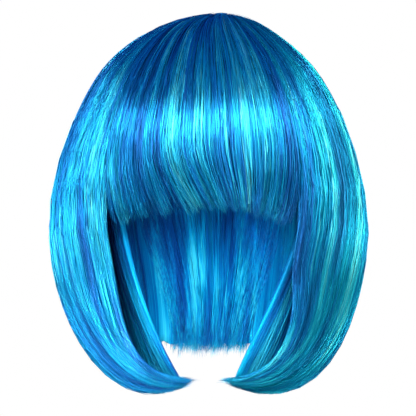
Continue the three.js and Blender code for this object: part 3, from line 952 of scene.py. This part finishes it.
FRINGE = SECTIONS["fringe"]
FRINGE_STRANDS = 1750
STRAYS = 26
STRAY_LOW = (-16.0, 6.0, 0.6)
STRAY_HIGH = (-3.0, 11.0, 1.0)
azimuth = scatter(FRINGE, FRINGE_STRANDS)
longer = (3.0 + 2.5 * ease(fringe_place(azimuth))) * MM
travel_per_metre = travel_of(1.0, dome, azimuth, FRINGE_LEVEL + 0.0 * azimuth)
end = cut(fringe_end(azimuth) + travel_per_metre * longer, dome, azimuth, 1.5 * MM, 14 * MM)
fringe_parts = [(*comb(
    FRINGE, fringe_layer, fringe_height, fringe_thickness, azimuth,
    below_seam(FRINGE_STRANDS, 0.25, 0.2), end, points=14,
    width=thickness_range(FRINGE_STRANDS, 0.5, 1.3),
    depth=(chance.random(FRINGE_STRANDS) < INNER_SHARE) * 1.0, gather=0.95, fray=0.6, tip=0.2,
    facing_layer=dome,
), 0)]
stray_azimuth, stray_aside, stray_size = chance.uniform(STRAY_LOW, STRAY_HIGH, (STRAYS, 3)).T
fringe_parts.append((*comb(
    FRINGE, fringe_layer, fringe_height, fringe_thickness, stray_azimuth,
    BELOW_CROWN + 0.1 * stray_size, fringe_end(stray_azimuth) + 0.012, points=14,
    width=0.9 * MM * stray_size, gather=0.0, loose=0.1, fray=0.3, tip=0.25, aside=stray_aside,
    facing_layer=dome,
), 0))
fringe_parts.append((*wall(
    FRINGE, fringe_layer, fringe_height, fringe_thickness, level_start(BELOW_CROWN),
    lambda azimuth: fringe_end(azimuth) - 0.02, rows=16, facing_layer=dome,
), 1))
make_piece("fringe_hair", fringe_parts, (strand_finish, wall_finish), "fringe")

# %% [markdown]
# ## The side locks and the back
#
# These are the long strands. Each falls over the dome, leaves it at the cheek and bends in to its
# own place in the hem. Along the front edge of a side lock some strands lie inside the thickness
# of the hair, so the edge doesn't look like the rim of a shell.


# %% Where the long strands end, and how high their locks stand
LOCK_POINT = 7 * MM


def outer_end(azimuth, section):
    """Each lock ends in a point, 7 mm longer in its middle than in the groove beside it."""
    turn = travel_of(LOCK_POINT, outer_layer, azimuth, 2.0 + 0.0 * azimuth)
    return 2.0 - turn * (1.0 - lock_height(section, azimuth))


def outer_height(section):
    """The ridge falls to two fifths at the hem, and the curl lies 1.2 mm closer."""
    def height(azimuth, travel):
        share = np.clip((travel - CROWN_LEVEL) / (2.0 - CROWN_LEVEL), 0.0, 1.0)
        ridge = RIDGE * (1.0 - 0.6 * share) * lock_height(section, azimuth)
        flatter = pressed(azimuth, CROWN_LEVEL) * (1.0 - ease((travel - CROWN_LEVEL) / 0.3))
        return ridge - flatter - CURL_CLOSER * ease((travel - 0.8) / 0.4)
    return height


# %% Comb a long section
def long_section(name, node, strands, edge=None, edge_strands=0):
    """Strands on the outer face, one in ten on the inner face, and some within the front edge."""
    section = SECTIONS[name]
    azimuth = scatter(section, strands)
    depth = (chance.random(strands) < INNER_SHARE) * 1.0
    if edge_strands:
        inwards = np.sign(0.5 * (section[0] + section[1]) - edge)
        beside = edge + inwards * chance.uniform(0.1, 3.0, edge_strands)
        azimuth = np.concatenate([azimuth, beside])
        depth = np.concatenate([depth, chance.random(edge_strands)])
    count = len(azimuth)
    end = cut(outer_end(azimuth, section), outer_layer, azimuth, 2.0 * MM, 20 * MM)
    height = outer_height(section)
    parts = [(*comb(
        section, outer_layer, height, outer_thickness, azimuth, below_seam(count, 0.25, 0.6), end,
        points=18, width=thickness_range(count, 0.6, 1.5), depth=depth, gather=0.7, fray=0.6,
    ), 0)]
    parts.append((*wall(
        section, outer_layer, height, outer_thickness, level_start(BELOW_CROWN),
        lambda azimuth: outer_end(azimuth, section) - 0.03, rows=30,
    ), 1))
    make_piece(node + "_hair", parts, (strand_finish, wall_finish), node)


long_section("left", "side_lock_left", 1450, LEFT_EDGE, 200)
long_section("right", "side_lock_right", 1450, RIGHT_EDGE, 200)
long_section("back", "back", 1500)

# %% [markdown]
# ## The inner curtain
#
# Through the opening for the face one sees hair from behind: the inner face of the nape, and the
# shorter under locks beside it. Here the strands lie mostly on the inner face.


# %% Where the inner strands end
INNER_POINT = 3 * MM


def inner_end(azimuth, section):
    """Each lock ends in a point, 3 mm longer in its middle than in the groove beside it."""
    turn = travel_of(INNER_POINT, inner_layer, azimuth, 1.0 + 0.0 * azimuth)
    return 1.0 - turn * (1.0 - lock_height(section, azimuth))


def from_sides(section, azimuth):
    """0 at either side of a section, and 1 from a tenth of the way in."""
    place = (azimuth - section[0]) / (section[1] - section[0])
    return ease(10.0 * place) * ease(10.0 * (1.0 - place))


def inner_height(section):
    """The ridge grows to its full height at the hem."""
    def height(azimuth, travel):
        return INNER_RIDGE * np.clip(travel, 0.0, 1.0) * lock_height(section, azimuth)
    return height


# %% Comb a section of the inner curtain
def inner_section(name, node, strands, inside, uneven, gather, backing=0.0, fray=1.2,
                  converge=0.0):
    """inside is the share of the strands that lie on the inner face, and backing how far from
    the hem the wall stops, as travel, so that only strands show at the ends."""
    section = SECTIONS[name]
    azimuth = scatter(section, strands)
    end = cut(inner_end(azimuth, section), inner_layer, azimuth, uneven, 12 * MM)
    start = np.where(chance.random(strands) < 0.75, 0.0, chance.uniform(0.0, 0.3, strands))
    height = inner_height(section)

    def wall_end(azimuth):
        return inner_end(azimuth, section) - backing * from_sides(section, azimuth)

    parts = [(*comb(
        section, inner_layer, height, inner_thickness, azimuth, start, end, points=14,
        width=thickness_range(strands, 0.6, 1.4), depth=(chance.random(strands) < inside) * 1.0,
        gather=gather, fray=fray, tip=0.2, converge=converge,
    ), 0)]
    parts.append((*wall(
        section, inner_layer, height, inner_thickness, level_start(0.0), wall_end, rows=20,
    ), 1))
    make_piece(node + "_hair", parts, (inner_finish, wall_finish), node)


inner_section("under_left", "under_lock_left", 560, inside=0.6, uneven=3 * MM, gather=0.4)
inner_section("under_right", "under_lock_right", 560, inside=0.6, uneven=3 * MM, gather=0.4)
inner_section(
    "nape", "nape", 1300, inside=0.8, uneven=2.4 * MM, gather=0.25, backing=0.03, fray=2.2,
    converge=0.36,
)

# %% [markdown]
# ## The whorl's patch
#
# At the bottom of the whorl a scrap of closed fabric shows, where the first hairs are knotted in.
# The solid has its form already, so it only gets a finish: a fine weave, in two crossed waves.


# %% Weave for the patch
def patch_material():
    """Two crossed waves, 0.5 mm apart, as height and as a slight change of tone."""
    material, tree, shader = new_material("whorl_patch_weave", {
        "Roughness": 0.9,
        "Specular IOR Level": 0.15,
    })
    place = add_node(tree, "ShaderNodeTexCoord")
    waves = [
        add_node(tree, "ShaderNodeTexWave", {
            "Vector": place.outputs["Object"],
            "Scale": 600.0,
            "Distortion": 1.0,
        }, bands_direction=direction)
        for direction in ("X", "Y")
    ]
    weave = calculate(tree, "MAXIMUM", waves[0].outputs["Fac"], waves[1].outputs["Fac"])
    ramp = add_node(tree, "ShaderNodeValToRGB", {"Fac": weave})
    ramp.color_ramp.elements[0].color = (0.0, 0.025, 0.09, 1.0)
    ramp.color_ramp.elements[1].color = (0.0, 0.07, 0.2, 1.0)
    bump = add_node(tree, "ShaderNodeBump", {
        "Strength": 0.7,
        "Distance": 0.2 * MM,
        "Height": weave,
    })
    tree.links.new(ramp.outputs["Color"], shader.inputs["Base Color"])
    tree.links.new(bump.outputs["Normal"], shader.inputs["Normal"])
    return material


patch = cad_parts["whorl_patch"]
patch.data.materials.clear()
patch.data.materials.append(patch_material())

# %% [markdown]
# ## Floor, lamps and sky
#
# The wig is shown on white, as if held up. A pale floor lies well below it. Shine is what makes
# hair look like hair: a long soft lamp high in front draws the bright band across the fringe, and
# a tall one on each side draws the streaks down the side locks. Small ones reach below the curls
# and inside the neck, and a wide one without highlights lifts the shadows. What the hair mirrors
# besides the lamps is a blue sky, which turns to cyan below.


# %% Lay the floor
WHITE = (1.0, 1.0, 1.0, 1.0)
PALE_GREY = (0.45, 0.45, 0.45, 1.0)


def lay_floor(height, half):
    """A plain square, half a side from the middle to its edge."""
    mesh = bpy.data.meshes.new("floor")
    signs = [(-1, -1), (1, -1), (1, 1), (-1, 1)]
    mesh.from_pydata([(x * half, y * half, height) for x, y in signs], [], [(0, 1, 2, 3)])
    floor = bpy.data.objects.new("floor", mesh)
    bpy.context.collection.objects.link(floor)
    mesh.materials.append(new_material("pale_floor", {
        "Base Color": PALE_GREY,
        "Roughness": 0.9,
        "Emission Color": WHITE,
        "Emission Strength": 0.87,
    })[0])
    floor.visible_glossy = False
    floor.visible_diffuse = False


lay_floor(height=-0.5, half=1.5)


# %% Hang the lamps
def hang_lamp(name, place, target, size, power, beam=180.0, shines=True):
    """A rectangular lamp at place that shines at target, in a beam so many degrees wide. With
    shines off it draws no highlights, and only brightens."""
    lamp = bpy.data.lights.new(name, "AREA")
    lamp.shape = "RECTANGLE"
    lamp.size, lamp.size_y = size
    lamp.energy = power
    lamp.spread = np.radians(beam)
    holder = bpy.data.objects.new(name, lamp)
    holder.location = place
    aim = np.array(target) - np.array(place)
    aim = aim / np.linalg.norm(aim)
    holder.rotation_euler = (np.arccos(-aim[2]), 0.0, np.arctan2(-aim[0], aim[1]))
    holder.visible_camera = False
    holder.visible_glossy = shines
    bpy.context.collection.objects.link(holder)


hang_lamp("front_lamp", (-0.1, -1.35, 0.5), (0.0, 0.0, -0.09), (1.2, 0.3), 34.0)
hang_lamp("low_lamp", (0.05, -0.62, -0.47), (0.0, 0.05, -0.16), (0.5, 0.12), 1.6)
hang_lamp("fill_lamp", (0.0, -1.3, -0.15), (0.0, 0.0, -0.15), (1.8, 0.3), 9.0, shines=False)
hang_lamp("curl_lamp", (-0.45, -0.9, -0.49), (-0.08, -0.08, -0.245), (0.1, 0.1), 0.17, beam=16.0)
hang_lamp("neck_lamp", (0.0, -0.14, -0.19), (0.0, 0.09, -0.182), (0.06, 0.03), 0.05, beam=38.0)
hang_lamp("left_lamp", (-1.05, -0.7, 0.05), (0.0, 0.0, -0.12), (0.4, 1.0), 17.0)
hang_lamp("right_lamp", (1.15, -0.5, 0.2), (0.0, 0.0, -0.1), (0.5, 0.9), 17.0)
hang_lamp("back_lamp", (0.0, 1.35, -0.1), (0.0, 0.0, -0.12), (1.0, 0.4), 4.0)

# %% White behind the wig, softer light from all around
world = bpy.data.worlds.new("studio")
bpy.context.scene.world = world
world.use_nodes = True
sky = world.node_tree
sky.nodes.clear()
ray = add_node(sky, "ShaderNodeLightPath")
COOL_WHITE = (0.85, 0.93, 1.0, 1.0)
CYAN_BELOW = (0.0, 0.4, 0.8, 1.0)
BLUE_ABOVE = (0.0, 0.18, 1.0, 1.0)
white = add_node(sky, "ShaderNodeBackground", {"Color": WHITE, "Strength": 1.0})
soft = add_node(sky, "ShaderNodeBackground", {"Color": COOL_WHITE, "Strength": 0.25})
direction = add_node(sky, "ShaderNodeTexCoord")
upwards = add_node(sky, "ShaderNodeSeparateXYZ", {"Vector": direction.outputs["Generated"]})
blue = add_node(sky, "ShaderNodeMix", {
    "Factor": graded(sky, upwards.outputs["Z"], (-0.3, 0.3), (0.0, 1.0)),
    "A": CYAN_BELOW,
    "B": BLUE_ABOVE,
}, data_type="RGBA")
mirrored = add_node(sky, "ShaderNodeBackground", {
    "Color": blue.outputs["Result"],
    "Strength": 0.52,
})
lit = add_node(sky, "ShaderNodeMixShader", {
    0: ray.outputs["Is Glossy Ray"],
    1: soft.outputs["Background"],
    2: mirrored.outputs["Background"],
})
either = add_node(sky, "ShaderNodeMixShader", {
    0: ray.outputs["Is Camera Ray"],
    1: lit.outputs["Shader"],
    2: white.outputs["Background"],
})
add_node(sky, "ShaderNodeOutputWorld", {"Surface": either.outputs["Shader"]})
bpy.context.scene.view_settings.view_transform = "Standard"
